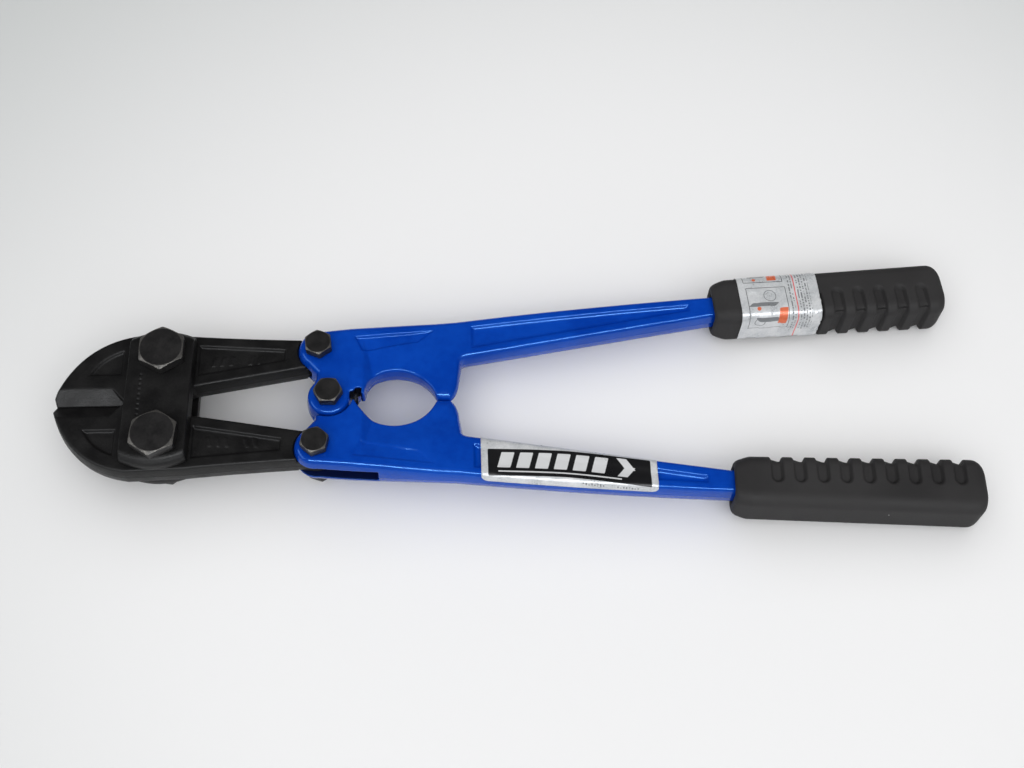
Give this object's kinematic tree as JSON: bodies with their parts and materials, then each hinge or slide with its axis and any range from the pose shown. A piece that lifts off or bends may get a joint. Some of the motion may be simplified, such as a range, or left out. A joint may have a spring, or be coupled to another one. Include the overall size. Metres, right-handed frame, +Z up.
{
  "type": "bolt cutters",
  "caption": "Compact bolt cutters with bolted jaws and straps, forged handles joined by a half-lapped centre pivot, and ribbed rubber grips.",
  "frame": {"origin": "centre of the bounding box in plan, at the height of the lower ends of the two jaw bolts, on which the head stands", "axes": "+X from the jaws to the grips along the tool's middle line, +Y towards the upper handle in plan, +Z up along the pivot bolts towards their heads"},
  "size_m": [0.3596, 0.1122, 0.0344],
  "materials": {
    "handle_paint": "gloss blue enamel over a forging",
    "jaw_steel": "satin black oxide",
    "bolt_steel": "dark oxide, worn bright along the chamfers",
    "grip_rubber": "matt moulded rubber",
    "label_foil": "printed silver film"
  },
  "bodies": {
    "straps": {"top_strap": "jaw_steel", "bottom_strap": "jaw_steel", "upper_jaw_bolt": "bolt_steel", "upper_jaw_washer": "bolt_steel", "upper_jaw_nut": "bolt_steel", "lower_jaw_bolt": "bolt_steel", "lower_jaw_washer": "bolt_steel", "lower_jaw_nut": "bolt_steel"},
    "upper_jaw": {"upper_jaw": "jaw_steel"},
    "lower_jaw": {"lower_jaw": "jaw_steel"},
    "upper_handle": {"upper_handle": "handle_paint", "upper_grip": "grip_rubber", "grip_label": "label_foil", "upper_link_bolt": "bolt_steel", "upper_link_washer": "bolt_steel", "upper_link_nut": "bolt_steel", "center_bolt": "bolt_steel", "center_washer": "bolt_steel", "center_nut": "bolt_steel"},
    "lower_handle": {"lower_handle": "handle_paint", "lower_grip": "grip_rubber", "shank_label": "label_foil", "lower_link_bolt": "bolt_steel", "lower_link_washer": "bolt_steel", "lower_link_nut": "bolt_steel"}
  },
  "joints": [
    {"name": "upper_jaw_pivot", "type": "hinge", "parent": "straps", "child": "upper_jaw", "pos_m": [-0.13715, 0.0185, 0.0189], "axis": [0, 0, -1], "range_deg": [0, 6.61]},
    {"name": "lower_jaw_pivot", "type": "hinge", "parent": "straps", "child": "lower_jaw", "pos_m": [-0.13715, -0.0185, 0.0189], "axis": [0, 0, 1], "range_deg": [0, 6.61]},
    {"name": "upper_handle_pivot", "type": "hinge", "parent": "upper_jaw", "child": "upper_handle", "pos_m": [-0.07645, 0.0215, 0.0189], "axis": [0, 0, 1], "range_deg": [0, 46]},
    {"name": "lower_handle_pivot", "type": "hinge", "parent": "lower_jaw", "child": "lower_handle", "pos_m": [-0.07645, -0.0215, 0.0189], "axis": [0, 0, -1], "range_deg": [0, 46]}
  ],
  "couplings": [
    {"joint": "lower_handle_pivot", "follows": "upper_handle_pivot", "ratio": 1},
    {"joint": "upper_jaw_pivot", "follows": "upper_handle_pivot", "ratio": 0.1435},
    {"joint": "lower_jaw_pivot", "follows": "upper_handle_pivot", "ratio": 0.1435}
  ]
}
